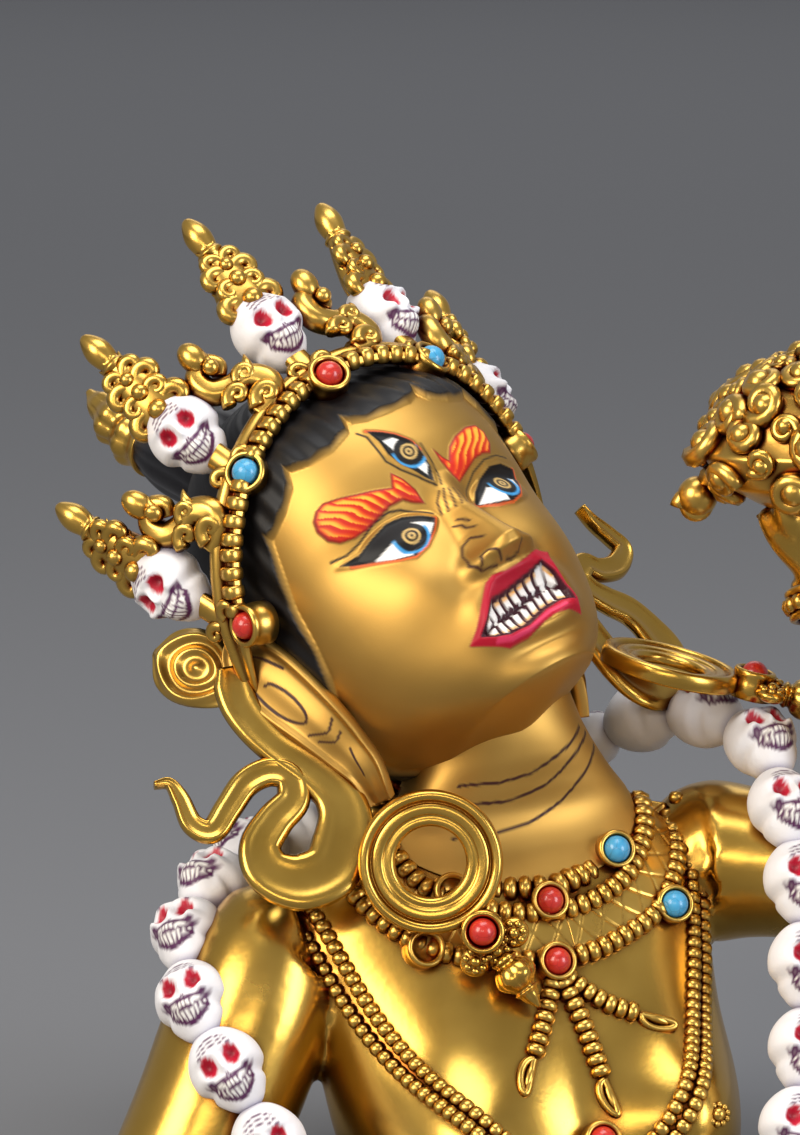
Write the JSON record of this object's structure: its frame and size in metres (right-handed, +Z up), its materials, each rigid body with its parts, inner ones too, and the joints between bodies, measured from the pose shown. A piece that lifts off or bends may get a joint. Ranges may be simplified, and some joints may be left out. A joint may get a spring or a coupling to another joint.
{
  "type": "yogini statue bust",
  "caption": "Gilt copper bust of a dancing yogini with a skull crown, flying ribbons, ring earrings, a skull garland and a raised skull cup.",
  "frame": {"origin": "a point on the flat underside, below the middle of the chest", "axes": "+Z up out of the flat underside, -Y towards the viewer of the picture, +X to the side of the raised cup"},
  "size_m": [0.1038, 0.075, 0.1059],
  "materials": {
    "gilt_copper": "fire-gilt copper, burnished on the body, matte cold gold on the face, brown in the recesses",
    "white_paint": "matte white mineral paint with red eyes and purple lines",
    "coral": "polished red coral cabochon",
    "turquoise": "polished blue turquoise cabochon"
  },
  "bodies": {
    "root": {"figure": "gilt_copper", "crown": "gilt_copper", "ribbon_left": "gilt_copper", "ribbon_right": "gilt_copper", "skull_garland": "white_paint", "skull_cup": "gilt_copper", "earring_left": "gilt_copper", "earring_right": "gilt_copper", "earring_stone_left": "coral", "earring_stone_right": "coral", "crown_stone_1": "coral", "crown_stone_2": "turquoise", "crown_stone_3": "coral", "crown_stone_4": "turquoise", "crown_stone_5": "coral", "neck_coral_upper": "coral", "neck_coral_lower": "coral", "neck_turquoise_upper": "turquoise", "neck_turquoise_lower": "turquoise", "pendant_coral": "coral"}
  },
  "joints": []
}
